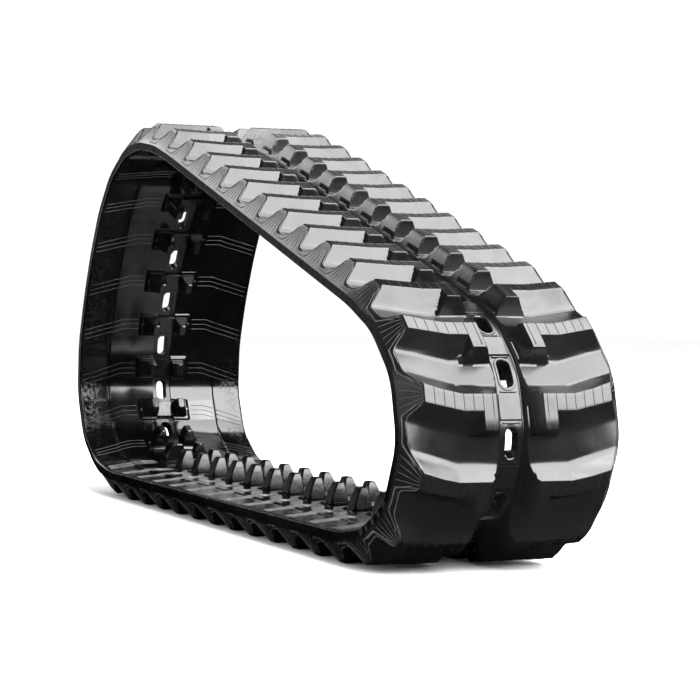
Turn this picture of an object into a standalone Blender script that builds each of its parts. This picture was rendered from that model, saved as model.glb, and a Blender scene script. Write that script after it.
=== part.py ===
"""Rubber track for a mini excavator, standing free on its tread.

The track is an endless rubber belt on a chain of forged steel cores. Each link of the chain has
one core: a bridge that the sprocket drives, two wings buried in the rubber, and two guide horns
on the inside. The rubber is cut into sections at the middle of every second sprocket window, where
the real belt bends. Each section turns on its neighbour about the pitch line, the line of the
steel cords, which keeps its length when the belt bends.

Frame: X along the track, Y across it, Z up, with the ground at z = 0. The loop lies in the XZ
plane. Along the belt, "travel" grows from the upper back corner over the top to the front, and
"outward" points from the pitch line to the tread side.
"""

import math
from collections import namedtuple

import bmesh
import bpy
import numpy as np
from mathutils import Matrix, Vector

# The chain
LINK_PITCH = 0.072
LINK_COUNT = 39
LINKS_PER_SECTION = 2

# The belt's cross section. Heights are measured outward from the pitch line.
BELT_WIDTH = 0.250
LAND_HEIGHT = 0.0075
LAND_EDGE_INSET = 0.006
INNER_EDGE_INSET = 0.0055
GROOVE_HALF_WIDTH = 0.0135
GROOVE_WALL_RUN = 0.003
GROOVE_FLOOR_HEIGHT = 0.0015
SIDE_DEPTH = 0.010
ROLLER_PATH_HALF_WIDTH = 0.080
ROLLER_PATH_DEPTH = 0.0135
PAD_SIDE_GAP = 0.001
PAD_RISE = 0.002

# Sprocket windows
WINDOW_LENGTH = 0.031
WINDOW_WIDTH = 0.0136

# Tread lugs, one left and one right on each link
LUG_HEIGHT = 0.0205
LUG_TIP_THICKNESS = 0.018
LUG_GROOVE_LEDGE = 0.0035
LUG_OUTER_INSET = 0.020
LUG_SWEPT_LENGTH = 0.042
LUG_SWEEP = 0.0095
LUG_FOOT_WIDTH = 0.021
LUG_FOOT_REACH = 0.0148
LUG_FLANK_RUN = 0.008
LUG_FOOT_FLANK_RUN = 0.004
LUG_OUTER_RUN = 0.013
LUG_INNER_RUN = 0.002
LUG_ROOT_DEPTH = 0.004

# Forged steel cores
CORE_LENGTH = 0.025
WING_REACH = 0.080
WING_THICKNESS = 0.0065
CORD_COVER = 0.003
BRIDGE_HALF_WIDTH = 0.0115
BRIDGE_DEPTH = 0.0195
HORN_FOOT_WIDTH = 0.023
HORN_TIP_WIDTH = 0.012
HORN_TIP_LENGTH = 0.014
HORN_HEIGHT = 0.0275
CORE_MARGIN = 0.0019

# Fits and flexing
BOND_GAP = 0.0003
FLEX_GAP = 0.0004
FLEX_RANGE_TIGHTER = 8.0
FLEX_RANGE_STRAIGHTER = 8.0

# The free-standing loop: three corners. Each has its turn in degrees, and its place and its
# spread as shares of the loop's length.
Corner = namedtuple("Corner", "turn place spread")
FRONT_CORNER = Corner(turn=163.8, place=0.3734, spread=0.2084)
LOWER_BACK_CORNER = Corner(turn=116.1, place=0.8169, spread=0.1820)
UPPER_BACK_CORNER = Corner(turn=80.1, place=0.9756, spread=0.2241)

# Newton steps that close the loop
CLOSING_STEPS = 20

# Finishes
RUBBER_COLOUR = (0.012, 0.012, 0.013)
RUBBER_ROUGHNESS = 0.32
STEEL_COLOUR = (0.10, 0.10, 0.105)
STEEL_ROUGHNESS = 0.4
FLAT_ANGLE = 0.05

# Worked out from the sizes above
LUG_TIP_HEIGHT = LAND_HEIGHT + LUG_HEIGHT
LUG_INNER_END = GROOVE_HALF_WIDTH + GROOVE_WALL_RUN + LUG_GROOVE_LEDGE
LUG_OUTER_END = BELT_WIDTH / 2.0 - LUG_OUTER_INSET
STIFF_HALF_LENGTH = CORE_LENGTH / 2.0 + CORE_MARGIN

Station = namedtuple("Station", "place heading_in heading_out")


def corner_turns(corners):
    """Turn in degrees at each joint between links, spread over the corners as raised cosines."""
    joints = (np.arange(LINK_COUNT) + 0.5) / LINK_COUNT
    turns = np.zeros(LINK_COUNT)
    for corner in corners:
        offset = (joints - corner.place + 0.5) % 1.0 - 0.5
        share = 1.0 + np.cos(2.0 * math.pi * offset / corner.spread)
        share[np.abs(offset) > corner.spread / 2.0] = 0.0
        turns += corner.turn * share / share.sum()
    return turns * 360.0 / turns.sum()


def walk_pitch_line(turns, heading=0.0, start=(0.0, 0.0)):
    """Stations of the pitch line: joint, both ends of the core's straight stretch, joint, and so on.

    The belt is straight over each core and a margin beside it. A third of each joint's turn is
    at the joint, and a third at the end of the straight stretch on each side of it.
    """
    third = np.radians(turns) / 3.0
    soft = LINK_PITCH / 2.0 - STIFF_HALF_LENGTH
    stiff = 2.0 * STIFF_HALF_LENGTH
    place = np.array(start, float)
    stations = [Station(place, heading + third[-1], heading)]
    for link in range(LINK_COUNT):
        steps = ((soft, third[link - 1]), (stiff, third[link]), (soft, third[link]))
        for length, turn in steps:
            place = place + length * np.array([math.cos(heading), math.sin(heading)])
            stations.append(Station(place, heading, heading - turn))
            heading -= turn
    return stations


def closed_corners():
    """The three corners, with the front and lower back ones shifted so that the loop closes."""

    def gap(front_place, back_place):
        corners = (
            FRONT_CORNER._replace(place=front_place),
            LOWER_BACK_CORNER._replace(place=back_place),
            UPPER_BACK_CORNER,
        )
        return walk_pitch_line(corner_turns(corners))[-1].place, corners

    places = np.array([FRONT_CORNER.place, LOWER_BACK_CORNER.place])
    nudge = 1e-6
    for _ in range(CLOSING_STEPS):
        miss = gap(*places)[0]
        slope_front = (gap(places[0] + nudge, places[1])[0] - miss) / nudge
        slope_back = (gap(places[0], places[1] + nudge)[0] - miss) / nudge
        places = places - np.linalg.solve(np.column_stack([slope_front, slope_back]), miss)
    return gap(*places)[1]


def link_frame(stations, link):
    """Frame of a link: origin at its core on the pitch line, X along travel, Z outward."""
    first, last = stations[3 * link + 1], stations[3 * link + 2]
    return frame_at((first.place + last.place) / 2.0, first.heading_out)


def joint_frame(stations, joint):
    """Frame of the joint before link number `joint`, halfway between its two headings."""
    station = stations[3 * joint]
    return frame_at(station.place, (station.heading_in + station.heading_out) / 2.0)


def frame_at(place, heading):
    """A frame in the loop's plane with X along the heading and Z outward."""
    turn = Matrix.Rotation(-heading, 4, "Y")
    return Matrix.Translation((place[0], 0.0, place[1])) @ turn


def standing_loop():
    """The closed pitch line, level along the ground, its lug tips at z = 0 and centred on X."""
    corners = closed_corners()
    turns = corner_turns(corners)
    loose = walk_pitch_line(turns)
    ground_link = round((corners[0].place + corners[1].place) / 2.0 * LINK_COUNT)
    level = -math.pi - loose[3 * ground_link + 1].heading_out
    stations = walk_pitch_line(turns, heading=level)
    tips = [
        link_frame(stations, link) @ Vector((travel, 0.0, LUG_TIP_HEIGHT))
        for link in range(LINK_COUNT)
        for travel, _ in lug_tip_outline()
    ]
    middle = (min(tip.x for tip in tips) + max(tip.x for tip in tips)) / 2.0
    ground = min(tip.z for tip in tips)
    return walk_pitch_line(turns, heading=level, start=(-middle, -ground))


def belt_profile():
    """The belt's cross section as (across, outward) points, from one edge over the tread side.

    The first and last points of the tread side are the belt's edges, on the pitch line.
    """
    tread_half = [
        (BELT_WIDTH / 2.0, 0.0),
        (BELT_WIDTH / 2.0 - LAND_EDGE_INSET, LAND_HEIGHT),
        (GROOVE_HALF_WIDTH + GROOVE_WALL_RUN, LAND_HEIGHT),
        (GROOVE_HALF_WIDTH, GROOVE_FLOOR_HEIGHT),
    ]
    inner_half = [
        (BELT_WIDTH / 2.0 - INNER_EDGE_INSET, -SIDE_DEPTH),
        (ROLLER_PATH_HALF_WIDTH, -ROLLER_PATH_DEPTH),
    ]
    tread = tread_half + [(-across, outward) for across, outward in reversed(tread_half)]
    inner = [(-across, outward) for across, outward in inner_half] + inner_half[::-1]
    return tread, inner


def flex_relief(outward):
    """How far a section's end face stands back from the joint, at a height over the pitch line."""
    reach = FLEX_RANGE_STRAIGHTER if outward > 0.0 else FLEX_RANGE_TIGHTER
    return FLEX_GAP / 2.0 + abs(outward) * math.tan(math.radians(reach / 2.0))


def ring_points(station, profile, end):
    """The profile's points at a station. `end` is -1 or 1 at a section's end, and 0 between."""
    middle = (station.heading_in + station.heading_out) / 2.0
    stretch = 1.0 / math.cos((station.heading_in - station.heading_out) / 2.0)
    outward_way = Vector((-math.sin(middle), 0.0, math.cos(middle))) * stretch
    heading = station.heading_in if end > 0 else station.heading_out
    travel_way = Vector((math.cos(heading), 0.0, math.sin(heading)))
    origin = Vector((station.place[0], 0.0, station.place[1]))
    points = []
    for across, outward in profile:
        back = -end * flex_relief(outward) if end else 0.0
        points.append(origin + outward_way * outward + travel_way * back + Vector((0, across, 0)))
    return points


def belt_mesh(stations, links):
    """The plain belt of one section: its cross section carried along the pitch line."""
    tread, inner = belt_profile()
    profile = tread + inner
    run = stations[3 * links[0]:3 * links[-1] + 4]
    bm = bmesh.new()
    rings = []
    for index, station in enumerate(run):
        end = -1 if index == 0 else 1 if index == len(run) - 1 else 0
        rings.append([bm.verts.new(point) for point in ring_points(station, profile, end)])
    for ring, following in zip(rings, rings[1:]):
        for here in range(len(profile)):
            beside = (here + 1) % len(profile)
            bm.faces.new((ring[here], ring[beside], following[beside], following[here]))
    for ring in (rings[0], rings[-1]):
        bm.faces.new(ring[:len(tread)])
        bm.faces.new([ring[len(tread) - 1]] + ring[len(tread):] + [ring[0]])
    bmesh.ops.recalc_face_normals(bm, faces=bm.faces)
    return bm


def lug_tip_outline():
    """Outline of a lug's ground face as (travel, across) points, on the side of positive Y."""
    half = LUG_TIP_THICKNESS / 2.0
    foot_edge = LUG_INNER_END + LUG_FOOT_WIDTH
    return [
        (-half, LUG_INNER_END),
        (-half, LUG_OUTER_END - LUG_SWEPT_LENGTH),
        (-half - LUG_SWEEP, LUG_OUTER_END),
        (half - LUG_SWEEP, LUG_OUTER_END),
        (half, LUG_OUTER_END - LUG_SWEPT_LENGTH),
        (half, foot_edge),
        (half + LUG_FOOT_REACH, foot_edge),
        (half + LUG_FOOT_REACH, LUG_INNER_END),
    ]


def lug_root_outline():
    """Outline of the lug where it meets the belt: the ground face, grown by each flank's run."""
    grown = 1.0 + LUG_ROOT_DEPTH / LUG_HEIGHT
    flank = LUG_FLANK_RUN * grown
    foot_flank = LUG_FOOT_FLANK_RUN * grown
    inner_end = LUG_INNER_END - LUG_INNER_RUN * grown
    outer_end = LUG_OUTER_END + LUG_OUTER_RUN * grown
    shifts = [
        (-flank, inner_end),
        (-flank, LUG_OUTER_END - LUG_SWEPT_LENGTH),
        (-flank, outer_end),
        (flank, outer_end),
        (flank, LUG_OUTER_END - LUG_SWEPT_LENGTH),
        (flank, LUG_INNER_END + LUG_FOOT_WIDTH + foot_flank),
        (foot_flank, LUG_INNER_END + LUG_FOOT_WIDTH + foot_flank),
        (foot_flank, inner_end),
    ]
    return [(travel + shift, across) for (travel, _), (shift, across) in zip(lug_tip_outline(), shifts)]


def add_prism(bm, frame, lower, upper):
    """A closed solid between two outlines of (x, y, z) points with the same number of corners."""
    bottom = [bm.verts.new(frame @ Vector(point)) for point in lower]
    top = [bm.verts.new(frame @ Vector(point)) for point in upper]
    faces = [bm.faces.new(bottom), bm.faces.new(top)]
    count = len(bottom)
    for here in range(count):
        beside = (here + 1) % count
        faces.append(bm.faces.new((bottom[here], bottom[beside], top[beside], top[here])))
    bmesh.ops.recalc_face_normals(bm, faces=faces)


def add_lug(bm, frame, side):
    """A tread lug on one side of a link: side is 1 towards positive Y, and -1 opposite it."""
    root_height = LAND_HEIGHT - LUG_ROOT_DEPTH
    lower = [(travel, side * across, root_height) for travel, across in lug_root_outline()]
    upper = [(travel, side * across, LUG_TIP_HEIGHT) for travel, across in lug_tip_outline()]
    add_prism(bm, frame, lower, upper)


def add_pad(bm, frame):
    """The raised rubber pad in the centre groove, over a core's bridge."""
    length, width = CORE_LENGTH / 2.0, GROOVE_HALF_WIDTH - PAD_SIDE_GAP
    corners = [(-length, -width), (length, -width), (length, width), (-length, width)]
    root = (GROOVE_FLOOR_HEIGHT - CORD_COVER) / 2.0
    top = GROOVE_FLOOR_HEIGHT + PAD_RISE
    lower = [(travel, across, root) for travel, across in corners]
    upper = [(travel, across, top) for travel, across in corners]
    add_prism(bm, frame, lower, upper)


def add_window(bm, frame):
    """The cutter of a sprocket window: an obround with its ends chamfered, right through the belt."""
    length, width = WINDOW_LENGTH / 2.0, WINDOW_WIDTH / 2.0
    chamfer = width * (2.0 - math.sqrt(2.0))
    outline = [
        (-length, -width + chamfer),
        (-length + chamfer, -width),
        (length - chamfer, -width),
        (length, -width + chamfer),
        (length, width - chamfer),
        (length - chamfer, width),
        (-length + chamfer, width),
        (-length, width - chamfer),
    ]
    lower = [(travel, across, -ROLLER_PATH_DEPTH - width) for travel, across in outline]
    upper = [(travel, across, GROOVE_FLOOR_HEIGHT + width) for travel, across in outline]
    add_prism(bm, frame, lower, upper)


def core_half_outline(grow):
    """Half of a core across the belt, as (across, outward, half length along travel) corners.

    It runs from the wing's end over the horn to the bridge, and `grow` moves every face outward.
    """
    half_length = CORE_LENGTH / 2.0 + grow
    half_tip = HORN_TIP_LENGTH / 2.0 + grow
    wing_end = WING_REACH + grow
    inner_face = -CORD_COVER - WING_THICKNESS - grow
    horn_middle = BRIDGE_HALF_WIDTH + HORN_FOOT_WIDTH / 2.0
    half_foot = HORN_FOOT_WIDTH / 2.0 + grow
    tip_width = HORN_TIP_WIDTH / 2.0 + grow
    tip = -ROLLER_PATH_DEPTH - HORN_HEIGHT - grow
    return [
        (wing_end, -CORD_COVER + grow, half_length),
        (wing_end, inner_face, half_length),
        (horn_middle + half_foot, inner_face, half_length),
        (horn_middle + tip_width, tip, half_tip),
        (horn_middle - tip_width, tip, half_tip),
        (horn_middle - half_foot, -BRIDGE_DEPTH - grow, half_length),
    ]


def add_core(bm, frame, grow=0.0):
    """A steel core in one piece: two wings, the bridge between them, and two tapered horns."""
    half = core_half_outline(grow)
    outline = half + [(-across, outward, reach) for across, outward, reach in reversed(half)]
    count = len(outline)
    sides = []
    for way in (-1, 1):
        points = [Vector((way * reach, across, outward)) for across, outward, reach in outline]
        sides.append([bm.verts.new(frame @ point) for point in points])
    faces = []
    for here in range(count):
        beside = (here + 1) % count
        back, front = sides
        faces.append(bm.faces.new((back[here], back[beside], front[beside], front[here])))
    for ring in sides:
        faces.append(bm.faces.new([ring[here] for here in (0, 1, 2, 5, 6, 9, 10, 11)]))
        faces.append(bm.faces.new(ring[2:6]))
        faces.append(bm.faces.new(ring[6:10]))
    bmesh.ops.recalc_face_normals(bm, faces=faces)


def object_from(bm, name, material=None):
    """A new object that holds the bmesh's geometry."""
    mesh = bpy.data.meshes.new(name)
    bm.to_mesh(mesh)
    bm.free()
    if material:
        mesh.materials.append(material)
    thing = bpy.data.objects.new(name, mesh)
    bpy.context.scene.collection.objects.link(thing)
    return thing


def combine(thing, helper, operation):
    """Apply an exact Boolean with a helper object to a mesh object, and remove the helper."""
    modifier = thing.modifiers.new(operation.title(), "BOOLEAN")
    modifier.operation = operation
    modifier.solver = "EXACT"
    modifier.object = helper
    graph = bpy.context.evaluated_depsgraph_get()
    mesh = bpy.data.meshes.new_from_object(thing.evaluated_get(graph))
    thing.modifiers.clear()
    old = thing.data
    mesh.name = old.name
    thing.data = mesh
    bpy.data.meshes.remove(old)
    bpy.data.objects.remove(helper)


def tidy(thing):
    """Merge the coplanar faces that the Booleans leave, so that the solid stays light."""
    bm = bmesh.new()
    bm.from_mesh(thing.data)
    bmesh.ops.dissolve_limit(
        bm, angle_limit=math.radians(FLAT_ANGLE), verts=bm.verts, edges=bm.edges)
    bm.to_mesh(thing.data)
    bm.free()


def place_at(thing, frame):
    """Move an object's origin to a frame while its geometry stays where it is."""
    thing.data.transform(frame.inverted())
    thing.matrix_world = frame


def make_section(stations, number, links, material):
    """One rubber section with its lugs, pads, sprocket windows and the pockets of its cores."""
    section = object_from(belt_mesh(stations, links), f"rubber_section_{number:02d}", material)
    raised = bmesh.new()
    hollows = bmesh.new()
    for link in links:
        frame = link_frame(stations, link)
        add_lug(raised, frame, 1)
        add_lug(raised, frame, -1)
        add_pad(raised, frame)
        add_core(hollows, frame, BOND_GAP)
    for joint in range(links[0], links[-1] + 2):
        add_window(hollows, joint_frame(stations, joint))
    combine(section, object_from(raised, "raised"), "UNION")
    combine(section, object_from(hollows, "hollows"), "DIFFERENCE")
    tidy(section)
    place_at(section, joint_frame(stations, links[0]))
    return section


def make_material(name, colour, roughness, metallic):
    """A Principled material."""
    material = bpy.data.materials.new(name)
    material.use_nodes = True
    shader = material.node_tree.nodes["Principled BSDF"]
    shader.inputs["Base Color"].default_value = (*colour, 1.0)
    shader.inputs["Roughness"].default_value = roughness
    shader.inputs["Metallic"].default_value = metallic
    return material


def make_track():
    """The whole track: rubber sections along the loop, and a steel core in each link."""
    rubber = make_material("black rubber", RUBBER_COLOUR, RUBBER_ROUGHNESS, 0.0)
    steel = make_material("forged steel", STEEL_COLOUR, STEEL_ROUGHNESS, 1.0)
    stations = standing_loop()
    core_form = bmesh.new()
    add_core(core_form, Matrix.Identity(4))
    core_mesh = bpy.data.meshes.new("steel_core")
    core_form.to_mesh(core_mesh)
    core_form.free()
    core_mesh.materials.append(steel)
    for number, first in enumerate(range(0, LINK_COUNT, LINKS_PER_SECTION), start=1):
        links = list(range(first, min(first + LINKS_PER_SECTION, LINK_COUNT)))
        section = make_section(stations, number, links, rubber)
        for link in links:
            core = bpy.data.objects.new(f"steel_core_{link + 1:02d}", core_mesh)
            bpy.context.scene.collection.objects.link(core)
            core.parent = section
            core.matrix_parent_inverse = section.matrix_world.inverted()
            core.matrix_world = link_frame(stations, link)


for old_object in list(bpy.data.objects):
    bpy.data.objects.remove(old_object)
make_track()
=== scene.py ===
import logging
import math
from dataclasses import dataclass, field
from enum import Enum

import bpy
import numpy as np
from mathutils import Matrix, Vector


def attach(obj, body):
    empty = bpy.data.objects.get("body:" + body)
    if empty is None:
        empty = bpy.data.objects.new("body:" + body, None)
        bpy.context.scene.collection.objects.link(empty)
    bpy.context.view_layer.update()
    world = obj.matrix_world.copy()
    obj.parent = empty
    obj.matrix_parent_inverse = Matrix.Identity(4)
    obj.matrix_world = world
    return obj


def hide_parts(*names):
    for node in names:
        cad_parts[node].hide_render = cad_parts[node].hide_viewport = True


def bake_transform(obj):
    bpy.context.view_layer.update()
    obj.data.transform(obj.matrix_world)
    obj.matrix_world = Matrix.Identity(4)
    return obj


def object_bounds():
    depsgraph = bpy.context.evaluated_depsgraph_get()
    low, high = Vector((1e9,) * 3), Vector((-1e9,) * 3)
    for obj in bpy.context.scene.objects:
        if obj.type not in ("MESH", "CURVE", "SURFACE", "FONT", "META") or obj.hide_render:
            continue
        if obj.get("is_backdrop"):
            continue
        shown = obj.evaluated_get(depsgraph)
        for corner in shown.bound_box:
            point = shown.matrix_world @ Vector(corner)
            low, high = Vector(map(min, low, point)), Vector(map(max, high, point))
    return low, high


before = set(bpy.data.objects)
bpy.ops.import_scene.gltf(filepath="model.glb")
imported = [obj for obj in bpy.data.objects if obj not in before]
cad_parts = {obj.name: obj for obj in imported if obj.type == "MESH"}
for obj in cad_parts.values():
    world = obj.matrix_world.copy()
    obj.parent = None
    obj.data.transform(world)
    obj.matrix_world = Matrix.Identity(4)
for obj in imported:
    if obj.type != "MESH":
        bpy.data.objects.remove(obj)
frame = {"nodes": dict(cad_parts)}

LOG = logging.getLogger("rubber_track")

Colour = tuple[float, float, float, float]
Place = tuple[float, float, float]


# ---------------------------------------------------------------- small maths


def soft_min(first: np.ndarray, second: np.ndarray, rounding: float) -> np.ndarray:
    """Lower of two heights with a rounded changeover.

    Formula: the plain minimum, less (overlap squared) * rounding / 4, where overlap runs
    from 0 to 1 as the two heights come within the rounding of each other.

    Args:
        first: Heights in metres.
        second: Heights in metres.
        rounding: Height difference over which the crease is rounded, in metres.

    Returns:
        The rounded minimum.
    """
    overlap = np.clip(rounding - np.abs(first - second), 0.0, None) / rounding
    return np.minimum(first, second) - overlap**2 * rounding / 4


def soft_max(first: np.ndarray, second: np.ndarray, rounding: float) -> np.ndarray:
    """Higher of two heights with a rounded changeover, as soft_min with the signs turned."""
    return -soft_min(-np.asarray(first), -np.asarray(second), rounding)


def ramp(value: np.ndarray, start: float, end: float) -> np.ndarray:
    """Smooth step from 0 at start to 1 at end: 3 t squared less 2 t cubed."""
    t = np.clip((value - start) / (end - start), 0.0, 1.0)
    return t * t * (3 - 2 * t)


def spaced(stops: list[float], counts: list[int]) -> np.ndarray:
    """Grid lines through the stops, with an even count of steps between each two.

    Args:
        stops: The lines that have to be there, rising, in millimetres.
        counts: The number of steps from each stop to the next.

    Returns:
        The lines in metres.
    """
    parts = [np.linspace(a, b, n, endpoint=False) for a, b, n in zip(stops, stops[1:], counts)]
    return np.concatenate([*parts, [stops[-1]]]) / 1000


# ---------------------------------------------------------------- mesh making


@dataclass
class Shell:
    """Closed surfaces gathered into one mesh, with finish numbers and flat coordinates."""

    points: list[np.ndarray] = field(default_factory=list)
    faces: list[np.ndarray] = field(default_factory=list)
    finish: list[np.ndarray] = field(default_factory=list)
    flat: list[np.ndarray] = field(default_factory=list)
    count: int = 0

    def add(self, points: np.ndarray, faces: np.ndarray, finish: np.ndarray | int = 0,
            flat: np.ndarray | None = None) -> None:
        """Adds one closed surface, turned so that its faces point outwards.

        The signed volume is a sixth of the sum, over triangles, of one corner dotted with the
        cross product of the other two. A negative volume means that the faces point inwards.

        Args:
            points: Corner places, one row each.
            faces: Quads as rows of four corner numbers; a triangle repeats its last corner.
            finish: Finish number of each face, or one number for all.
            flat: Two flat coordinates for each point.
        """
        a, b, c, d = (points[faces[:, k]] for k in range(4))
        volume = (a * np.cross(b, c)).sum() + (a * np.cross(c, d)).sum()
        if volume < 0:
            faces = faces[:, ::-1]
        self.points.append(points)
        self.faces.append(faces + self.count)
        self.finish.append(np.broadcast_to(np.asarray(finish, np.int32), (len(faces),)))
        self.flat.append(np.zeros((len(points), 2)) if flat is None else flat)
        self.count += len(points)

    def piece(self, name: str, materials: list[bpy.types.Material],
              crease: float = 34.0) -> bpy.types.Object:
        """Makes the object, at the origin, shaded smooth except over sharp edges.

        Args:
            name: The piece's name.
            materials: The finishes, in the order of their numbers.
            crease: Angle in degrees past which an edge is shaded sharp.

        Returns:
            The new object.
        """
        points, faces = np.concatenate(self.points), np.concatenate(self.faces)
        finish, flat = np.concatenate(self.finish), np.concatenate(self.flat)
        quad = (faces[:, 2] != faces[:, 3]) & (faces[:, 0] != faces[:, 1])
        whole, cut = faces[quad], faces[~quad]
        if len(cut):
            cut = np.where((cut[:, :1] == cut[:, 1:2]), cut[:, 1:], cut[:, :3])
        mesh = bpy.data.meshes.new(name)
        mesh.from_pydata(points.tolist(), [], whole.tolist() + cut.tolist())
        for material in materials:
            mesh.materials.append(material)
        order = np.concatenate([finish[quad], finish[~quad]]).astype(np.int32)
        mesh.polygons.foreach_set("material_index", order)
        mesh.polygons.foreach_set("use_smooth", np.ones(len(order), bool))
        corner = np.empty(len(mesh.loops), np.int32)
        mesh.loops.foreach_get("vertex_index", corner)
        layer = mesh.uv_layers.new(name="flat").data
        layer.foreach_set("uv", flat[corner].astype(np.float32).ravel())
        mesh.set_sharp_from_angle(angle=math.radians(crease))
        mesh.update()
        made = bpy.data.objects.new(name, mesh)
        bpy.context.scene.collection.objects.link(made)
        return made


def tube_faces(rings: int, around: int) -> np.ndarray:
    """Quads of a tube without ends: ring i, place j to ring i + 1, place j + 1, closed round."""
    i, j = np.meshgrid(np.arange(rings - 1), np.arange(around), indexing="ij")
    k = (j + 1) % around
    here, there = i * around, (i + 1) * around
    return np.stack([here + j, here + k, there + k, there + j], -1).reshape(-1, 4)


def rod_faces(rings: int, around: int) -> np.ndarray:
    """Faces of a closed rod with an even number of places round it.

    The tube's quads come first. Rung k of an end joins places k and k + 1 to the two that face
    them; the first end's quads are turned round.
    """
    k = np.arange(around // 2 - 1)
    cap = np.stack([k, k + 1, around - 2 - k, around - 1 - k], -1)
    return np.concatenate([tube_faces(rings, around), cap[:, ::-1], cap + (rings - 1) * around])


def ring_cap(start: int, around: int) -> np.ndarray:
    """Faces that close one ring: rung k joins place k to place around - 1 - k on the far side."""
    k = np.arange((around - 1) // 2)
    far = around - 1 - k
    quads = np.stack([k, k + 1, far - 1, far], -1)
    quads[quads[:, 1] == quads[:, 2], 2] = far[-1]
    return quads + start


# ---------------------------------------------------------------- finishes


class Coat(Enum):
    """The finishes on the track."""

    TREAD = "tread_rubber"
    SIDE = "side_rubber"
    # Inner face: its darker colour is painted shade.
    SHADED_INNER = "shaded_inner_rubber"
    STEEL = "coated_steel"
    LINE = "flash_rubber"
    # Light grey rubber on the thin ribs, rims, fans and bead: painted highlight where light catches
    # them.
    PAINTED_HIGHLIGHT = "painted_highlight_rubber"


@dataclass(frozen=True)
class Rubber:
    """Black moulded rubber: glossy where the mould was polished, with fine flow marks and grain."""

    name: str
    base: Colour = (0.004, 0.004, 0.0042, 1.0)
    dusty: Colour = (0.008, 0.008, 0.0083, 1.0)
    gloss_low: float = 0.17
    gloss_high: float = 0.28
    grain: float = 0.10
    ripple: float = 0.25
    pitted: float = 0.0

    def material(self) -> bpy.types.Material:
        """Builds the node tree: cloudy colour and roughness, a long ripple and a fine grain bump.

        Returns:
            The finished material.
        """
        made = bpy.data.materials.new(self.name)
        made.use_nodes = True
        tree = made.node_tree
        nodes, link = tree.nodes, tree.links.new
        shader = nodes["Principled BSDF"]
        shader.inputs["IOR"].default_value = 1.52
        place = nodes.new("ShaderNodeTexCoord")

        def noise(scale: float, detail: float, rough: float = 0.55) -> bpy.types.Node:
            """A noise pattern on the object's own coordinates."""
            node = nodes.new("ShaderNodeTexNoise")
            node.inputs["Scale"].default_value = scale
            node.inputs["Detail"].default_value = detail
            node.inputs["Roughness"].default_value = rough
            link(place.outputs["Object"], node.inputs["Vector"])
            return node

        def spread(source: bpy.types.NodeSocket, low: float, high: float, out_low: float,
                   out_high: float) -> bpy.types.NodeSocket:
            """Maps one range of numbers to another."""
            node = nodes.new("ShaderNodeMapRange")
            node.inputs["From Min"].default_value = low
            node.inputs["From Max"].default_value = high
            node.inputs["To Min"].default_value = out_low
            node.inputs["To Max"].default_value = out_high
            link(source, node.inputs["Value"])
            return node.outputs["Result"]

        cloud = noise(9.0, 5.0)
        tone = nodes.new("ShaderNodeMix")
        tone.data_type = "RGBA"
        tone.inputs[6].default_value, tone.inputs[7].default_value = self.base, self.dusty
        link(spread(cloud.outputs["Fac"], 0.45, 0.75, 0.0, 1.0), tone.inputs[0])
        link(tone.outputs[2], shader.inputs["Base Color"])
        patch = noise(38.0, 4.0)
        gloss = spread(patch.outputs["Fac"], 0.3, 0.7, self.gloss_low, self.gloss_high)
        link(gloss, shader.inputs["Roughness"])
        wave = noise(60.0, 2.0)
        first = nodes.new("ShaderNodeBump")
        first.inputs["Strength"].default_value = self.ripple
        first.inputs["Distance"].default_value = 0.0006
        link(wave.outputs["Fac"], first.inputs["Height"])
        fine = noise(900.0, 3.0)
        second = nodes.new("ShaderNodeBump")
        second.inputs["Strength"].default_value = self.grain
        second.inputs["Distance"].default_value = 0.0002
        link(fine.outputs["Fac"], second.inputs["Height"])
        link(first.outputs["Normal"], second.inputs["Normal"])
        last = second
        if self.pitted > 0:
            apart = nodes.new("ShaderNodeSeparateXYZ")
            link(place.outputs["Object"], apart.inputs["Vector"])
            away = nodes.new("ShaderNodeMath")
            away.operation = "ABSOLUTE"
            link(apart.outputs["Y"], away.inputs[0])
            edge = spread(away.outputs[0], 0.088, 0.108, 0.0, 1.0)
            pits = noise(210.0, 4.0, 0.7)
            raised = spread(pits.outputs["Fac"], 0.52, 0.62, 0.0, 1.0)
            both = nodes.new("ShaderNodeMath")
            both.operation = "MULTIPLY"
            link(edge, both.inputs[0])
            link(raised, both.inputs[1])
            third = nodes.new("ShaderNodeBump")
            third.inputs["Strength"].default_value = self.pitted
            third.inputs["Distance"].default_value = 0.0009
            link(both.outputs[0], third.inputs["Height"])
            link(second.outputs["Normal"], third.inputs["Normal"])
            last = third
        link(last.outputs["Normal"], shader.inputs["Normal"])
        return made


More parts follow.
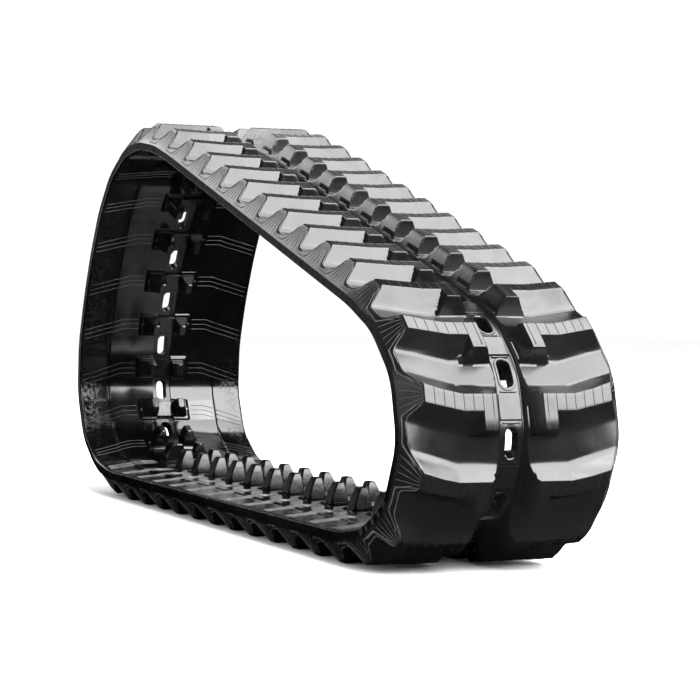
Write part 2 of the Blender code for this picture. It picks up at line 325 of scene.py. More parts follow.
RUBBERS = {
    Coat.TREAD: Rubber(Coat.TREAD.value),
    Coat.SIDE: Rubber(
        Coat.SIDE.value, base=(0.002, 0.002, 0.0021, 1.0), dusty=(0.005, 0.005, 0.0052, 1.0),
        gloss_low=0.12, gloss_high=0.2, grain=0.12),
    # A darker copy of the tread rubber: painted shade on the inner face. Its lower roughness and
    # pitted bump are the surface's own.
    Coat.SHADED_INNER: Rubber(
        Coat.SHADED_INNER.value, base=(0.001, 0.001, 0.0011, 1.0), dusty=(0.0022, 0.0022, 0.0023, 1.0),
        gloss_low=0.10, gloss_high=0.16, grain=0.05, ripple=0.05, pitted=0.2),
    # About ten times lighter than the tread rubber: painted highlight on the thin ribs, rims, fans
    # and side bead.
    Coat.PAINTED_HIGHLIGHT: Rubber(
        Coat.PAINTED_HIGHLIGHT.value, base=(0.03, 0.03, 0.031, 1.0), dusty=(0.07, 0.07, 0.071, 1.0),
        gloss_low=0.2, gloss_high=0.32, grain=0.05, ripple=0.0),
    Coat.LINE: Rubber(
        Coat.LINE.value, base=(0.002, 0.002, 0.002, 1.0), dusty=(0.004, 0.004, 0.004, 1.0),
        gloss_low=0.55, gloss_high=0.75),
    Coat.STEEL: Rubber(
        Coat.STEEL.value, base=(0.002, 0.002, 0.0021, 1.0), dusty=(0.006, 0.006, 0.006, 1.0),
        gloss_low=0.12, gloss_high=0.24, grain=0.15, ripple=0.3),
}

BELT_COATS = [Coat.TREAD, Coat.SIDE, Coat.SHADED_INNER, Coat.LINE, Coat.PAINTED_HIGHLIGHT]
# The numbers that the belt's faces carry for those finishes.
TREAD, SIDE, SHADED_INNER, LINE, PAINTED_HIGHLIGHT = range(len(BELT_COATS))


# ---------------------------------------------------------------- the loop


@dataclass
class Loop:
    """The belt's pitch line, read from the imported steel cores, and how rubber bends between."""

    nodes: dict[str, bpy.types.Object]
    links: int = 39
    pitch: float = 0.072
    stiff_half: float = 0.0144
    wing_end: float = 0.079
    wing_height: float = 0.00625
    places: np.ndarray = field(init=False)
    along: np.ndarray = field(init=False)
    outward: np.ndarray = field(init=False)

    def __post_init__(self) -> None:
        """Finds each core's centre, its outward direction and its direction of travel."""
        wings, tips = zip(*(self._marks(k) for k in range(self.links)))
        wings, tips = np.array(wings), np.array(tips)
        out = wings - tips
        out /= np.linalg.norm(out, axis=1, keepdims=True)
        self.outward = out
        self.places = wings + out * self.wing_height
        self.along = np.stack([out[:, 1], -out[:, 0]], -1)
        toward = np.roll(self.places, -1, 0) - self.places
        self.along *= np.sign((self.along * toward).sum(1, keepdims=True))

    def _marks(self, k: int) -> tuple[np.ndarray, np.ndarray]:
        """Mean of the core's wing ends, and of its horn tips, in the XZ plane.

        The tips are the points furthest from the wing ends' mean.
        """
        mesh = self.nodes[f"steel_core_{k + 1:02d}"].data
        co = np.empty(len(mesh.vertices) * 3)
        mesh.vertices.foreach_get("co", co)
        co = co.reshape(-1, 3)
        wing = co[np.abs(co[:, 1]) > self.wing_end][:, [0, 2]].mean(0)
        flat = co[:, [0, 2]]
        corners = np.unique(np.round(flat, 5), axis=0)
        reach = np.linalg.norm(corners - wing, axis=1)
        tip = corners[reach > reach.max() - 0.0012].mean(0)
        return wing, tip

    def bend(self, first: int, s: np.ndarray, y: np.ndarray, h: np.ndarray) -> np.ndarray:
        """Puts belt coordinates into the row frame.

        Between two cores the pitch line is straight for the stiff half length, turns on a
        circular arc, and is straight again. A point is the pitch line's place plus its height
        along the outward direction there. Before the first core and after the third it is straight.

        Args:
            first: Number of the core at s = 0, counted from 0.
            s: Distance along the pitch line in metres.
            y: Place across the belt in metres.
            h: Height outward from the pitch line in metres.

        Returns:
            Points in the row frame.
        """
        s, y, h = np.broadcast_arrays(s, y, h)
        which = np.clip(np.floor(s / self.pitch).astype(int), 0, 1)
        local = s - which * self.pitch
        k = (first + which) % self.links
        nxt = (k + 1) % self.links
        angle = np.arctan2(self.along[:, 1], self.along[:, 0])
        turn = (angle[nxt] - angle[k] + np.pi) % (2 * np.pi) - np.pi
        free = self.pitch - 2 * self.stiff_half
        u = np.clip((local - self.stiff_half) / free, 0, 1)
        gap = (self.places[nxt] - self.stiff_half * self.along[nxt]
               - self.places[k] - self.stiff_half * self.along[k])
        chord = np.linalg.norm(gap, axis=-1)
        arc = chord / np.sinc(turn / (2 * np.pi))
        before = np.minimum(local, self.stiff_half)
        after = np.maximum(local - self.pitch + self.stiff_half, 0)
        heading = angle[k] + turn * u
        middle = angle[k] + turn * u / 2
        run = arc * u * np.sinc(turn * u / (2 * np.pi))
        flip = np.sign(self.along[k, 0] * self.outward[k, 1]
                       - self.along[k, 1] * self.outward[k, 0])
        x = (self.places[k, 0] + before * self.along[k, 0] + run * np.cos(middle)
             + after * np.cos(heading) - flip * h * np.sin(heading))
        z = (self.places[k, 1] + before * self.along[k, 1] + run * np.sin(middle)
             + after * np.sin(heading) + flip * h * np.cos(heading))
        return np.stack([x, y, z], -1)


# ---------------------------------------------------------------- the belt's surfaces


@dataclass
class Tread:
    """Heights of the moulded rubber above and below the pitch line, in metres."""

    pitch: float = 0.072
    tip: float = 0.0276
    tip_half: float = 0.009
    steep: float = 1.46
    rear_steep: float = 1.67
    foot_end: float = 0.0238
    foot_width: float = 0.041
    foot_steep: float = 4.4
    foot_side_steep: float = 2.4
    lug_start: float = 0.020
    lug_start_steep: float = 9.0
    lug_end: float = 0.105
    end_slope: float = 1.4
    valley: float = 0.0068
    valley_place: float = 0.029
    valley_ahead: tuple[float, float] = (0.007, 0.0016)
    valley_behind: tuple[float, float] = (0.026, 0.0062)
    dish: float = 0.0012
    dish_middle: float = 0.066
    dish_half: float = 0.055
    groove_half: float = 0.0135
    groove_floor: float = 0.0015
    groove_steep: float = 2.2
    edge: float = 0.1246
    sweep_start: float = 0.063
    sweep_rate: float = 0.0095 / 0.042
    path_depth: float = 0.0135
    path_edge: float = 0.0795
    side_start: float = 0.0122
    side_rise: float = 0.045
    collar_depth: float = 0.0022

    def sweep(self, y: np.ndarray) -> np.ndarray:
        """How far the pattern lags: nothing to the sweep start, then in proportion."""
        return np.clip(np.abs(y) - self.sweep_start, 0, None) * self.sweep_rate

    def outer(self, x: np.ndarray, y: np.ndarray) -> np.ndarray:
        """Outer height at swept distance x and distance y from the middle.

        The lug is the lowest of its tip plane and its flank planes; the valley is a scoop that
        is deepest behind the steep flank and rises to the next lug; the end slope and the
        groove wall cut both off.

        Args:
            x: Swept distances in metres, 0 at a core.
            y: Distances from the middle in metres.

        Returns:
            Heights from the pitch line in metres.
        """
        v, y = np.mod(x, self.pitch), np.abs(y)
        fall = self.tip - (v - self.tip_half) * self.steep
        rise = self.tip - (self.pitch - self.tip_half - v) * self.rear_steep
        foot = np.minimum(self.tip - (v - self.foot_end) * self.foot_steep,
                          self.tip - (y - self.foot_width) * self.foot_side_steep)
        lug = np.maximum(np.maximum(fall, rise), foot)
        lug = soft_min(lug, np.full_like(lug, self.tip), 0.0009)
        lug = soft_min(lug, self.tip - (self.lug_start - y) * self.lug_start_steep, 0.0009)
        ahead = np.clip((self.valley_place - v) / self.valley_ahead[0], 0, 1)
        behind = np.clip((v - self.valley_place) / self.valley_behind[0], 0, 1)
        deep = ahead**2 * self.valley_ahead[1] + behind**2 * self.valley_behind[1]
        middle = 1 - ((y - self.dish_middle) / self.dish_half) ** 2
        valley = self.valley + deep - self.dish * np.clip(middle, 0, 1)
        height = soft_max(lug, valley, 0.0042)
        height = soft_min(height, self.tip - (y - self.lug_end) * self.end_slope, 0.0012)
        wall = self.groove_floor + (y - self.groove_half) * self.groove_steep
        return soft_min(height, wall, 0.0008)

    def inner(self, x: np.ndarray, y: np.ndarray) -> np.ndarray:
        """Inner height: a flat roller path, a small step, a gentle rise to the side, and a
        collar of rubber round each pair of horns.

        Args:
            x: Swept distances in metres, 0 at a core.
            y: Distances from the middle in metres.

        Returns:
            Heights from the pitch line in metres, below it and so negative.
        """
        v = np.mod(x + self.pitch / 2, self.pitch) - self.pitch / 2
        y = np.abs(y)
        depth = np.minimum(self.path_depth, self.path_depth - (y - self.path_edge) * 0.5)
        depth = soft_max(depth, self.side_start - (y - 0.082) * self.side_rise, 0.0003)
        collar = (1 - ramp(np.abs(v), 0.0145, 0.0185)) * (1 - ramp(y, 0.0355, 0.0395))
        depth = depth + self.collar_depth * collar
        return -(depth - np.clip((y - 0.1215) / 0.0031, 0, 1) ** 2 * 0.0012)

    def lines_along(self) -> np.ndarray:
        """Grid lines over one pitch, close together at the lug's edges."""
        return spaced([0, 8.3, 9.7, 20.3, 23.1, 24.7, 28.7, 52.5, 55.5, 61.9, 63.6, 72],
                      [3, 4, 8, 5, 4, 5, 16, 5, 6, 4, 3])

    def lines_across(self) -> np.ndarray:
        """Grid lines over half the width, close together at the lug's ends and the foot's side."""
        return spaced([13.5, 16.6, 18.6, 20.9, 35.5, 39.5, 42.0, 48, 61.5, 64.5, 78.5, 82.5,
                       103.8, 106.2, 121.5, 124.6],
                      [3, 2, 6, 5, 3, 5, 5, 4, 4, 4, 5, 7, 4, 13, 4])


@dataclass
class Belt:
    """The rubber belt: twenty closed pieces, each from one core's middle to the next but one."""

    loop: Loop
    tread: Tread
    coats: dict[Coat, bpy.types.Material]
    hinges: int = 20
    open_pivot: int = 2
    flex: tuple[float, float] = (0.22, 0.78)
    window_half_length: float = 0.0155
    window_half_width: float = 0.0068
    plate_half: float = 0.0136
    plate_height: float = 0.0015
    plate_depth: float = 0.0131
    collar_width: float = 0.0034
    rib_clearance: float = 0.0004
    bead_height: float = -0.0088
    bead_step: float = 0.0045
    wall_bottom: float = -0.0078
    tip_line_step: float = 0.01062
    long_line_end: float = 0.035
    flow_row_step: float = 0.0075
    flow_slant: float = 0.11
    bar_shift: float = 0.0162

    def _lift(self, first: int, side: int, x: np.ndarray, y: np.ndarray,
              h: np.ndarray) -> np.ndarray:
        """Takes swept distance, distance from the middle and height to the row frame."""
        return self.loop.bend(first, x - self.tread.sweep(y), side * y, h)

    def _half(self, shell: Shell, first: int, pitches: int, side: int) -> None:
        """Adds half the belt: a tube round tread, side wall and inner face, closed at both ends.

        Ring i is the section at one swept distance. Going round it runs along the outer
        heights to the side, down the side, and back along the inner heights.

        Args:
            shell: The piece that takes it.
            first: Core at distance 0.
            pitches: Length in link pitches.
            side: 1 or -1 for the belt's half.
        """
        pitch, one = self.loop.pitch, self.tread.lines_along()
        x = np.concatenate([one[:-1] + n * pitch for n in range(pitches)] + [[pitches * pitch]])
        y = self.tread.lines_across()
        xx, yy = np.meshgrid(x, y, indexing="ij")
        top, under = self.tread.outer(xx, yy), self.tread.inner(xx, yy)
        t = np.array([0.12, 0.5, 0.88])
        wall = top[:, -1:] * (1 - t) + under[:, -1:] * t
        swell = np.array([0.00015, 0.0002, 0.00015])
        h = np.concatenate([top, wall, under[:, ::-1]], 1)
        across = [yy, np.broadcast_to(self.tread.edge + swell, wall.shape), yy[:, ::-1]]
        ys = np.concatenate(across, 1)
        xs = np.broadcast_to(x[:, None], h.shape)
        points = self._lift(first, side, xs, ys, h).reshape(-1, 3)
        around, n = h.shape[1], len(y)
        j = np.arange(around)
        coat = np.select([j < n - 1, j < n + 3, j < around - 1], [TREAD, SIDE, SHADED_INNER], TREAD)
        caps = np.concatenate([ring_cap(0, around)[:, ::-1],
                               ring_cap((len(x) - 1) * around, around)])
        faces = np.concatenate([tube_faces(len(x), around), caps])
        finish = np.concatenate([np.tile(coat, len(x) - 1), np.full(len(caps), TREAD)])
        shell.add(points, faces, finish, np.stack([xs, side * ys], -1).reshape(-1, 2))

    def _ribs(self, shell: Shell, first: int, side: int, x: np.ndarray, y: np.ndarray,
              half: float, rise: float, coat: int = TREAD) -> None:
        """Adds thin ribs that follow the surface.

        Each rib is a row of places. A place's section is six points: two feet at the rib's half
        width, sunk a little, and four raised ones that round its back. A rib on the tread
        stands at most the clearance over the tips.

        Args:
            shell: The piece that takes them.
            first: Core at distance 0.
            side: 1 or -1 for the belt's half.
            x: Swept distances, one row for each rib.
            y: Distances from the middle, one row for each rib.
            half: Half width in metres.
            rise: Height above the surface in metres, below 0 for a rib on the inner face.
            coat: Finish number.
        """
        dx, dy = np.gradient(x, axis=1), np.gradient(y, axis=1)
        size = np.hypot(dx, dy)
        offsets = np.array([-1, -0.65, -0.22, 0.22, 0.65, 1]) * half
        lifts = np.array([-0.5, 0.6, 1, 1, 0.6, -0.5])
        fade = np.ones(x.shape[1])
        fade[0] = fade[-1] = 0.0
        xs = x[..., None] - (dy / size)[..., None] * offsets
        ys = y[..., None] + (dx / size)[..., None] * offsets
        base = self.tread.inner(xs, ys) if rise < 0 else self.tread.outer(xs, ys)
        h = base + rise * lifts * np.where(lifts > 0, fade[None, :, None], 1.0)
        h = np.minimum(h, self.tread.tip + self.rib_clearance)
        faces = rod_faces(x.shape[1], 6)
        for rib in self._lift(first, side, xs, ys, h):
            shell.add(rib.reshape(-1, 3), faces, coat)

    def _rim(self, shell: Shell, first: int, side: int, at: float) -> None:
        """Adds the two thin rims round the outer end of the valley behind a lug.

        A rim runs where the end slope meets the valley: the distance from the middle is the
        lug's end plus the height lost from the tip over the end slope. Neighbouring places are
        averaged, which rounds the corners.

        Args:
            shell: The piece that takes them.
            first: Core at distance 0.
            side: 1 or -1 for the belt's half.
            at: Distance of the lug's core.
        """
        t = self.tread
        x = np.linspace(-0.0625, -0.0095, 45)
        inside = t.outer(x, np.full_like(x, t.lug_end - 0.003))
        y = t.lug_end + (t.tip - inside) / t.end_slope
        y = np.convolve(np.pad(y, 5, mode="edge"), np.ones(11) / 11, mode="valid")
        both = np.stack([np.minimum(y, 0.1180), np.minimum(y + 0.0042, 0.1222)])
        self._ribs(shell, first, side, np.stack([at + x, at + x]), both, 0.0006, 0.0008, PAINTED_HIGHLIGHT)

    def _edge_ribs(self, shell: Shell, first: int, side: int, start: float) -> None:
        """Adds the upright flow lines on the side wall, in close groups.

        Args:
            shell: The piece that takes them.
            first: Core at distance 0.
            side: 1 or -1 for the belt's half.
            start: Distance of the core that they belong to.
        """
        t = np.linspace(0, 1, 5)
        width = np.array([-0.00035, -0.00012, 0.00012, 0.00035])
        out = np.array([-0.0002, 0.00038, 0.00038, -0.0002])
        groups = (-0.0245, -0.0215, -0.0185, -0.003, 0.0, 0.015, 0.018, 0.0335)
        for at in start + np.array(groups):
            top = self.tread.outer(np.array([at]), np.array([self.tread.edge]))[0]
            h = (top - 0.0012) * (1 - t) + self.wall_bottom * t
            xs, ys, hs = np.broadcast_arrays(at + width, self.tread.edge + out, h[:, None])
            points = self._lift(first, side, xs, ys, hs)
            shell.add(points.reshape(-1, 3), rod_faces(len(t), 4), SIDE)

    def _bead(self, shell: Shell, first: int, pitches: int, side: int) -> None:
        """Adds the parting line low on the side wall: a thread that swells at an even step.

        How far it stands out is the least height plus the swell times half of 1 + cosine.

        Args:
            shell: The piece that takes it.
            first: Core at distance 0.
            pitches: Length in link pitches.
            side: 1 or -1 for the belt's half.
        """
        n = pitches * 48 + 1
        x = np.linspace(0, pitches * self.loop.pitch, n)
        swell = 0.5 + 0.5 * np.cos(2 * np.pi * x / self.bead_step)
        h = self.bead_height + np.array([-0.0005, -0.0002, 0.0002, 0.0005]) + 0 * x[:, None]
        crown, foot = 0.00012 + 0.00026 * swell, np.full(n, -0.0003)
        out = np.stack([foot, crown, crown, foot], -1)
        xs = np.broadcast_to(x[:, None], h.shape)
        points = self._lift(first, side, xs, self.tread.edge + out, h)
        shell.add(points.reshape(-1, 3), rod_faces(n, 4), PAINTED_HIGHLIGHT)

    def _plate(self, shell: Shell, first: int, start: float) -> None:
        """Adds one pitch of the middle strip, with its window.

        A line of the strip runs from the window's edge along the edge's own outward direction
        to the strip's border. The window is two half circles joined by straight sides. The
        section goes round: outer face from border to rim, down the window's wall, and back
        along the inner face to the border.

        Args:
            shell: The piece that takes it.
            first: Core at distance 0.
            start: Distance of the core where the strip begins.
        """
        half, r = self.loop.pitch / 2, self.window_half_width
        straight = self.window_half_length - r
        corner = math.degrees(math.atan2(self.plate_half, half - straight))
        quarter = np.array([90, 78, 66, 54, 42, 33, corner, 17, 8, 0])
        arc = np.radians(np.concatenate([quarter, -quarter[-2::-1]]))
        flat = np.linspace(straight, -straight, 7)[1:-1]
        level = np.full(len(flat), np.pi / 2)
        end = np.full(len(arc), straight)
        cx = np.concatenate([end, flat, -end, -flat])
        angle = np.concatenate([arc, -level, np.pi - arc[::-1], level])
        nx, ny = np.cos(angle), np.sin(angle)
        tiny, far = 1e-9, 1e9
        reach_x = (half - np.abs(cx)) / np.maximum(np.abs(nx), tiny)
        reach_y = self.plate_half / np.maximum(np.abs(ny), tiny)
        reach = np.minimum(np.where(np.abs(nx) > tiny, reach_x, far),
                           np.where(np.abs(ny) > tiny, reach_y, far))
        top, rim, bottom, ring = self.plate_height, 0.0024, -self.plate_depth, self.collar_width
        rows = []
        for share, out, height in ((1.0, ring, top), (0.5, ring, top), (0, ring, top),
                                   (0, 0.0028, rim), (0, 0.0010, rim), (0, 0.0, 0.0016),
                                   (0, 0.0, bottom + 0.0009), (0, 0.0010, bottom),
                                   (0.5, ring, bottom), (1.0, ring, bottom)):
            distance = r + out + (reach - r - out) * share
            distance = np.minimum(distance, reach)
            rows.append(np.stack([cx + nx * distance, ny * distance, np.full_like(cx, height)], -1))
        grid = np.array(rows).transpose(1, 0, 2)
        s, y, h = start + half + grid[..., 0], grid[..., 1], grid[..., 2]
        points = self.loop.bend(first, s, y, h).reshape(-1, 3)
        rings, around = grid.shape[:2]
        j, last = np.arange(around), (rings - 1) * around
        k = (j + 1) % around
        closing = np.stack([last + j, last + k, k, j], -1)
        faces = np.concatenate([tube_faces(rings, around), closing])
        shell.add(points, faces, TREAD, np.stack([s, y], -1).reshape(-1, 2))

    def _slab(self, shell: Shell, first: int, x: tuple[float, float], y: tuple[float, float],
              h: tuple[float, float], bevel: float) -> None:
        """Adds a bevelled block: sections from its foot to its shoulder to a top that is drawn
        in by the bevel, each a rectangle with cut corners.

        Args:
            shell: The piece that takes it.
            first: Core at distance 0.
            x: Distances of its two ends.
            y: Its two sides across the belt.
            h: Heights of its foot and its top.
            bevel: The bevel in metres.
        """
        rings = []
        for inset, height in ((0, h[0]), (0, h[1] - bevel), (bevel * 0.3, h[1] - bevel * 0.3),
                              (bevel, h[1]), (bevel * 1.8, h[1])):
            x0, x1, y0, y1 = x[0] + inset, x[1] - inset, y[0] + inset, y[1] - inset
            ring = [(x0 + bevel, y0), (x1 - bevel, y0), (x1, y0 + bevel), (x1, y1 - bevel),
                    (x1 - bevel, y1), (x0 + bevel, y1), (x0, y1 - bevel), (x0, y0 + bevel)]
            rings.append(np.column_stack([np.array(ring), np.full(8, height)]))
        grid = np.array(rings)
        points = self.loop.bend(first, grid[..., 0], grid[..., 1], grid[..., 2]).reshape(-1, 3)
        cap, last = np.array([[0, 1, 2, 3], [0, 3, 4, 7], [4, 5, 6, 7]]), (len(rings) - 1) * 8
        faces = np.concatenate([tube_faces(len(rings), 8), cap[:, ::-1], cap + last])
        shell.add(points, faces, TREAD)

    def _tip_lines(self, shell: Shell, first: int, side: int, at: float) -> None:
        """Adds the lines over a lug's tip: the two nearest the groove run on over the foot."""
        y = self.tread.lug_start + self.tip_line_step * np.arange(1, 8)[:, None]
        run = np.array([-0.0098, -0.0088, -0.003, 0.003, 0.0088, 0.0098])
        long = np.array([-0.0098, -0.0088, 0.0, 0.010, 0.0236, 0.0242])
        x = np.where(y < self.long_line_end, long, run) + at
        self._ribs(shell, first, side, x, np.broadcast_to(y, x.shape), 0.0005, 0.00036, LINE)

    def _fan(self, shell: Shell, first: int, side: int, at: float) -> None:
        """Adds six ribs that spread over the lug's end slope towards the side wall."""
        spread = np.linspace(-1, 1, 6)[:, None]
        s = np.linspace(0, 1, 7)[None]
        x = at + spread * (0.0070 + 0.0150 * s)
        y = 0.1062 + 0.0165 * s + 0 * spread
        self._ribs(shell, first, side, x, y, 0.0004, 0.0007, PAINTED_HIGHLIGHT)

    def _flow_lines(self, shell: Shell, first: int, side: int, at: float) -> None:
        """Adds three ribs on the inner face, straight near the horns and slanting to the side."""
        rows = np.array([-1, 0, 1])[:, None] * self.flow_row_step + at
        y = np.concatenate([np.linspace(0.0415, 0.063, 4), np.linspace(0.066, 0.1235, 9)])[None]
        slant = self.flow_slant * np.clip(y - self.tread.sweep_start, 0, None)
        self._ribs(shell, first, side, rows - slant, y + 0 * rows, 0.00045, -0.0007, PAINTED_HIGHLIGHT)

    def _dress(self, shell: Shell, first: int, at: float) -> None:
        """Adds the fine mouldings that belong to one core, with its pad and the bars beside it.

        Args:
            shell: The piece that takes them.
            first: Core at distance 0.
            at: Distance of the core that they belong to.
        """
        for side in (1, -1):
            self._tip_lines(shell, first, side, at)
            self._fan(shell, first, side, at)
            self._rim(shell, first, side, at)
            self._flow_lines(shell, first, side, at)
            self._edge_ribs(shell, first, side, at)
        pad = (at - 0.0135, at + 0.0135)
        self._slab(shell, first, pad, (-0.0124, 0.0124), (-0.002, 0.0036), 0.0006)
        for shift in (-self.bar_shift, self.bar_shift):
            bar = (at + shift - 0.0008, at + shift + 0.0008)
            self._slab(shell, first, bar, (-0.0092, 0.0092), (0.0, 0.0030), 0.0004)

    def _walls(self, shell: Shell, first: int, pitches: int) -> None:
        """Adds the thin ridge at the foot of each groove wall."""
        n = pitches * 16 + 1
        x = np.linspace(0, pitches * self.loop.pitch, n)[:, None]
        y = np.array([0.0124, 0.0128, 0.0136, 0.0141])
        h = np.array([0.0008, 0.0025, 0.0028, 0.0008])
        for side in (1, -1):
            points = self.loop.bend(first, x, side * y, h)
            shell.add(points.reshape(-1, 3), rod_faces(n, 4), TREAD)

    def _join(self, piece: bpy.types.Object, hinge: int, first: int) -> None:
        """Ties the open pivot's piece to the section after its hinge and hides the part that it
        replaces; any other piece is only baked in place.

        Args:
            piece: The finished piece.
            hinge: Number of the section after the hinge, counted from 0.
            first: Core where the piece begins.
        """
        after = f"section_{hinge + 1:02d}"
        if hinge == self.open_pivot:
            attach(piece, after)
        else:
            flex, still = self.loop.pitch * np.array(self.flex), np.zeros(2)
            start, end = self.loop.bend(first, flex, still, still)
            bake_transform(piece)
        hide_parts(f"rubber_section_{hinge + 1:02d}")

    def build(self) -> list[bpy.types.Object]:
        """Builds every piece: the open pivot's piece rides on its section, the others are baked in
        place.

        Returns:
            The twenty belt pieces.
        """
        made = []
        materials = [self.coats[kind] for kind in BELT_COATS]
        for hinge in range(self.hinges):
            first = (2 * hinge - 1) % self.loop.links
            pitches = 1 if hinge == self.hinges - 1 else 2
            shell = Shell()
            for side in (1, -1):
                self._half(shell, first, pitches, side)
                self._bead(shell, first, pitches, side)
            self._walls(shell, first, pitches)
            for n in range(pitches):
                self._plate(shell, first, n * self.loop.pitch)
                self._dress(shell, first, (n + 1) * self.loop.pitch)
            piece = shell.piece(f"belt_{hinge + 1:02d}", materials)
            self._join(piece, hinge, first)
            LOG.info("%s: %d faces", piece.name, len(piece.data.polygons))
            made.append(piece)
        return made


# ---------------------------------------------------------------- the cores


@dataclass
class Cores:
    """The forged cores: wings in the rubber, a bridge in the middle and a horn on each side."""

    loop: Loop
    coats: dict[Coat, bpy.types.Material]
    core_half: float = 0.0125
    bridge_half: float = 0.0135
    bridge_depths: tuple[float, float] = (0.0060, 0.0195)
    wing_half: float = 0.0115
    wing_reach: float = 0.080
    wing_depths: tuple[float, float] = (0.0030, 0.0095)
    lug_place: float = 0.0352
    lug_half: tuple[float, float] = (0.0030, 0.0022)
    lug_depths: tuple[float, float] = (0.0120, 0.0172)
    bevel: float = 0.0012
    crease: float = 25.0

    def _stack(self, shell: Shell, core: int, rings: np.ndarray) -> None:
        """Adds a closed stack of rings, each of (distance, across, depth) points."""
        points = self.loop.bend(core, rings[..., 0], rings[..., 1], -rings[..., 2])
        shell.add(points.reshape(-1, 3), rod_faces(*rings.shape[:2]))

    @staticmethod
    def _ring(s: float, y0: float, y1: float, cut_s: float, cut_y: float,
              depth: float) -> np.ndarray:
        """A rectangle with cut corners at one depth: distance within s, across from y0 to y1."""
        corners = [(-s, y0 + cut_y), (-s, y1 - cut_y), (-s + cut_s, y1), (s - cut_s, y1),
                   (s, y1 - cut_y), (s, y0 + cut_y), (s - cut_s, y0), (-s + cut_s, y0)]
        return np.column_stack([np.array(corners), np.full(8, depth)])

    def _horn(self, shell: Shell, core: int, side: int) -> None:
        """Adds one horn: its long faces narrow to a small flat top, and the corner cuts swell
        towards the root, so that the faces across the travel are kite shaped."""
        levels = np.array([
            # distance, inner edge, outer edge, cut along, cut across, depth
            [0.0125, 0.0113, 0.0345, 0.0010, 0.0010, 0.0080],
            [0.0125, 0.0113, 0.0345, 0.0030, 0.0065, 0.0145],
            [0.0124, 0.0114, 0.0342, 0.0022, 0.0036, 0.0165],
            [0.0120, 0.0117, 0.0332, 0.0016, 0.0018, 0.0195],
            [0.0110, 0.0123, 0.0312, 0.0015, 0.0015, 0.0250],
            [0.0097, 0.0132, 0.0286, 0.0015, 0.0016, 0.0320],
            [0.0086, 0.0142, 0.0262, 0.0015, 0.0018, 0.0370],
            [0.0078, 0.0150, 0.0250, 0.0014, 0.0020, 0.0397],
            [0.0064, 0.0162, 0.0238, 0.0012, 0.0016, 0.0409],
        ])
        rings = np.array([self._ring(*level) for level in levels])
        rings[..., 1] *= side
        self._stack(shell, core, rings)

    def _block(self, shell: Shell, core: int, half: tuple[float, float],
               depths: tuple[float, float], bevel: float, middle: float = 0.0) -> None:
        """Adds a bevelled block: four rings, the outer two drawn in by the bevel.

        Args:
            shell: The piece that takes it.
            core: Number of the core, counted from 0.
            half: Half its size along the belt and across it.
            depths: Depths of its two faces below the pitch line.
            bevel: The bevel in metres.
            middle: Its middle across the belt.
        """
        rings = []
        for inset, depth in ((bevel, depths[0]), (0.0, depths[0] + bevel),
                             (0.0, depths[1] - bevel), (bevel, depths[1])):
            s, y = half[0] - inset, half[1] - inset
            rings.append(self._ring(s, middle - y, middle + y, bevel, bevel, depth))
        self._stack(shell, core, np.array(rings))

    def build(self) -> list[bpy.types.Object]:
        """Builds all the cores, each riding on its section.

        Returns:
            The core pieces.
        """
        made = []
        for core in range(self.loop.links):
            shell = Shell()
            for side in (1, -1):
                self._horn(shell, core, side)
                self._block(shell, core, self.lug_half, self.lug_depths, 0.0010,
                            side * self.lug_place)
            bridge, wing = (self.core_half, self.bridge_half), (self.wing_half, self.wing_reach)
            self._block(shell, core, bridge, self.bridge_depths, self.bevel)
            self._block(shell, core, wing, self.wing_depths, self.bevel)
            piece = shell.piece(f"core_{core + 1:02d}", [self.coats[Coat.STEEL]], self.crease)
            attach(piece, f"section_{core // 2 + 1:02d}")
            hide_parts(f"steel_core_{core + 1:02d}")
            LOG.info("%s: %d faces", piece.name, len(piece.data.polygons))
            made.append(piece)
        return made


# ---------------------------------------------------------------- the studio


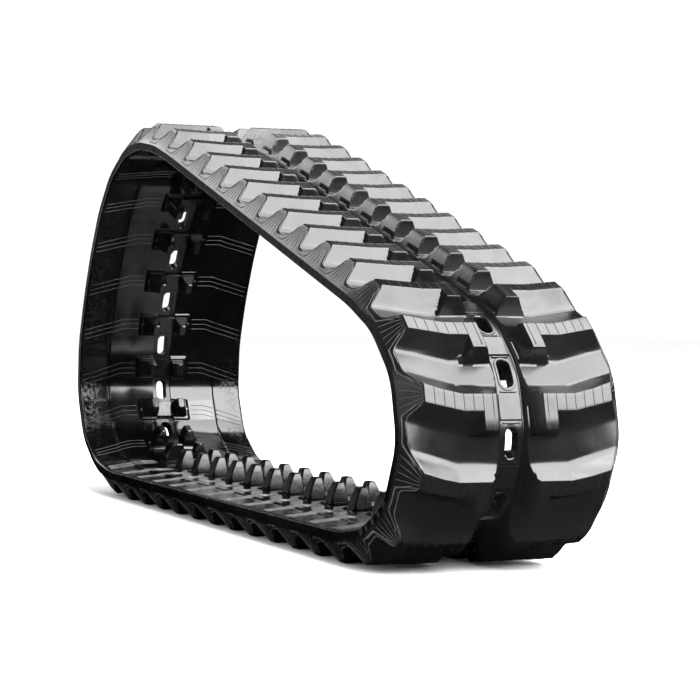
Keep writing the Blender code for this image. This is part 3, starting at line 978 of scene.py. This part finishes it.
@dataclass
class Studio:
    """A pale floor, soft boxes and the camera."""

    centre: Place = (0.0, 0.0, 0.26)
    place: Place = (2.66775, -1.02327, 0.28248)
    right: Place = (0.37790, 0.92573, 0.01218)
    forward: Place = (-0.92551, 0.37810, -0.02165)
    lens: float = 116.70
    floor_half: float = 14.0
    floor_drop: float = 0.0002
    white: float = 0.96
    surround: float = 1.06

    def floor(self) -> None:
        """Adds the floor, a flat pale sheet just under the lowest lugs."""
        u = np.linspace(-1, 1, 9) * self.floor_half
        xx, yy = np.meshgrid(u, u, indexing="ij")
        points = np.stack([xx, yy, np.full_like(xx, -self.floor_drop)], -1).reshape(-1, 3)
        i, j = np.meshgrid(np.arange(8), np.arange(8), indexing="ij")
        here, there = i * 9 + j, (i + 1) * 9 + j
        faces = np.stack([here, there, there + 1, here + 1], -1).reshape(-1, 4)
        mesh = bpy.data.meshes.new("floor")
        mesh.from_pydata(points.tolist(), [], faces.tolist())
        made = bpy.data.objects.new("floor", mesh)
        bpy.context.scene.collection.objects.link(made)
        paint = bpy.data.materials.new("pale_floor")
        paint.use_nodes = True
        inputs = paint.node_tree.nodes["Principled BSDF"].inputs
        inputs["Base Color"].default_value = (self.white, self.white, self.white, 1)
        inputs["Roughness"].default_value = 0.8
        inputs["Specular IOR Level"].default_value = 0.1
        mesh.materials.append(paint)
        made.visible_glossy = False
        made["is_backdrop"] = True

    def softbox(self, name: str, place: Place, size: tuple[float, float], power: float,
                aim: Place | None = None) -> None:
        """Adds a rectangular area light.

        Args:
            name: The light's name.
            place: Its centre in metres.
            size: Its width and height in metres.
            power: Its power in watts.
            aim: The place that it faces, or None for the track's middle.
        """
        lamp = bpy.data.lights.new(name, "AREA")
        lamp.shape, lamp.size, lamp.size_y, lamp.energy = "RECTANGLE", *size, power
        made = bpy.data.objects.new(name, lamp)
        bpy.context.scene.collection.objects.link(made)
        made.location = place
        toward = Vector(aim or self.centre) - Vector(place)
        made.rotation_mode = "QUATERNION"
        made.rotation_quaternion = toward.to_track_quat("-Z", "Y")

    def surroundings(self) -> None:
        """Sets a white surround that lights the floor but leaves no mirror image in the rubber."""
        world = bpy.data.worlds.new("studio")
        bpy.context.scene.world = world
        world.use_nodes = True
        inputs = world.node_tree.nodes["Background"].inputs
        inputs["Color"].default_value = (1, 1, 1, 1)
        inputs["Strength"].default_value = self.surround
        world.cycles_visibility.glossy = False
        bpy.context.scene.view_settings.view_transform = "Standard"

    def camera(self) -> None:
        """Adds the camera, turned by its own right, up and forward directions."""
        data = bpy.data.cameras.new("camera")
        data.lens, data.sensor_width = self.lens, 36.0
        data.clip_start, data.clip_end = 0.05, 60.0
        made = bpy.data.objects.new("camera", data)
        bpy.context.scene.collection.objects.link(made)
        right, forward = Vector(self.right).normalized(), Vector(self.forward).normalized()
        up = right.cross(forward).normalized()
        turn = Matrix((right, up, -forward)).transposed().to_4x4()
        made.matrix_world = Matrix.Translation(self.place) @ turn
        bpy.context.scene.camera = made

    def build(self) -> None:
        """Sets up the floor, the lights and the camera."""
        self.surroundings()
        self.floor()
        self.softbox("front", (2.95, 1.15, 2.34), (4.8, 2.6), 540.0)
        self.softbox("overhead", (0.95, 0.75, 3.5), (3.4, 2.5), 270.0)
        self.softbox("back", (-3.05, 1.47, 1.6), (3.0, 1.0), 12.0, (-2.86, 1.12, 0.26))
        self.softbox("rim", (-2.6, -0.85, 1.75), (1.4, 0.9), 13.0)
        self.softbox("side", (-3.0, -1.5, 0.5), (1.8, 0.9), 0.8)
        self.softbox("fill", (-2.2, 3.6, 2.0), (2.4, 1.6), 60.0)
        self.softbox("left", (0.3, -3.6, 1.3), (2.4, 1.0), 9.0)
        self.camera()


def corners() -> list[list[float]]:
    """The shown object's lowest and highest corner, as plain numbers."""
    return [[float(v) for v in corner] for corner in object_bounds()]


def main() -> None:
    """Builds the belt, its cores and the studio."""
    logging.basicConfig(level=logging.INFO, format="%(message)s")
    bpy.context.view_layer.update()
    coats = {coat: rubber.material() for coat, rubber in RUBBERS.items()}
    loop = Loop(frame["nodes"])
    belt = Belt(loop, Tread(), coats).build()
    cores = Cores(loop, coats).build()
    Studio().build()
    LOG.info("%d belt pieces, %d cores", len(belt), len(cores))


if __name__ == "__main__":
    main()
